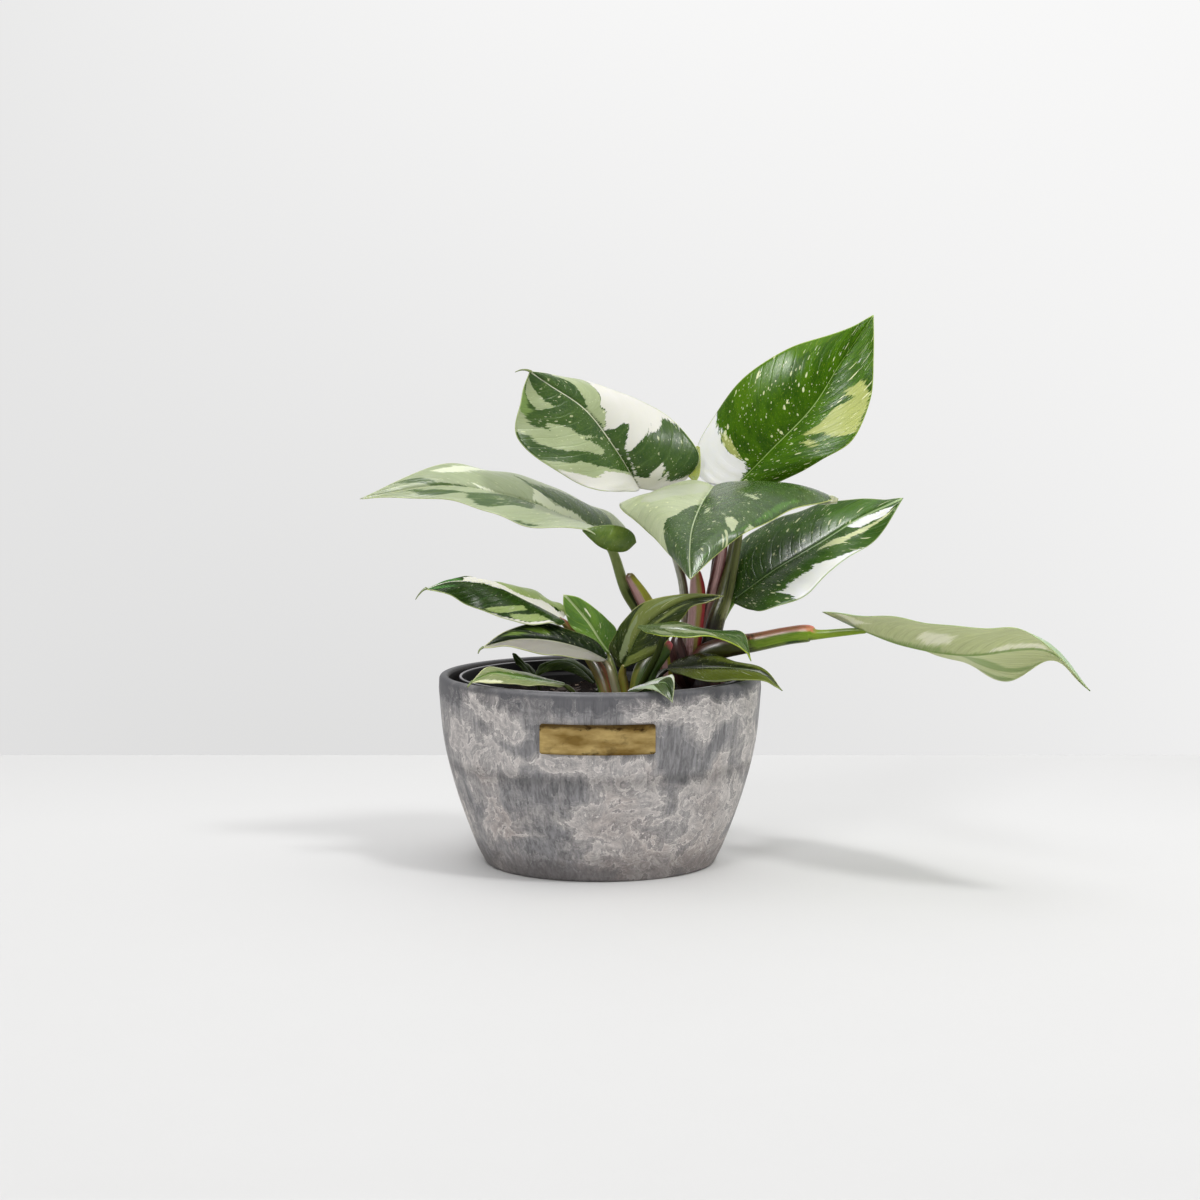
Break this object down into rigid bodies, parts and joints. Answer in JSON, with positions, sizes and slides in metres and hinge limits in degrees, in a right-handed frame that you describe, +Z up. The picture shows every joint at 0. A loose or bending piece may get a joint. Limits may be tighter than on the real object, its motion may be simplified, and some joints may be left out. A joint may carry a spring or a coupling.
{
  "type": "potted philodendron",
  "caption": "Variegated philodendron in a nursery pot that stands inside a round stone-look planter with a blank brass plate.",
  "frame": {"origin": "centre of the planter's flat foot, where it stands", "axes": "+Z up, -Y out of the side with the plate, +X towards the plant's longest leaf"},
  "size_m": [0.3845, 0.2172, 0.3062],
  "materials": {
    "stone": "matte",
    "brass": "satin",
    "black_plastic": "satin",
    "soil": "matte",
    "leaf_bright": "satin",
    "leaf_dark": "satin",
    "leaf_pale": "satin",
    "stalk_green": "satin",
    "stalk_pink": "satin",
    "stalk_brown": "satin"
  },
  "bodies": {
    "root": {"crown_front": "stalk_brown", "crown_main": "stalk_brown", "front_plate": "brass", "leaf_arching": "leaf_dark", "leaf_back_sprout": "leaf_dark", "leaf_centre": "leaf_dark", "leaf_far_right": "leaf_pale", "leaf_front_right": "leaf_dark", "leaf_long_left": "leaf_pale", "leaf_low_left": "leaf_dark", "leaf_right": "leaf_dark", "leaf_rim_front": "leaf_pale", "leaf_rim_left": "leaf_pale", "leaf_rim_right": "leaf_dark", "leaf_soil_back": "leaf_dark", "leaf_top_left": "leaf_dark", "leaf_top_right": "leaf_bright", "leaf_white_edged": "leaf_dark", "leaf_young_upright": "leaf_bright", "nursery_pot": "black_plastic", "petiole_arching": "stalk_green", "petiole_back_sprout": "stalk_green", "petiole_centre": "stalk_pink", "petiole_far_right": "stalk_green", "petiole_front_right": "stalk_green", "petiole_long_left": "stalk_green", "petiole_low_left": "stalk_green", "petiole_right": "stalk_green", "petiole_rim_front": "stalk_green", "petiole_rim_left": "stalk_green", "petiole_rim_right": "stalk_green", "petiole_soil_back": "stalk_green", "petiole_top_left": "stalk_green", "petiole_top_right": "stalk_green", "petiole_white_edged": "stalk_green", "petiole_young_upright": "stalk_green", "planter": "stone", "sheath_front": "stalk_green", "sheath_left": "stalk_pink", "sheath_main": "stalk_pink", "soil": "soil", "spent_stalk": "stalk_brown"}
  },
  "joints": []
}
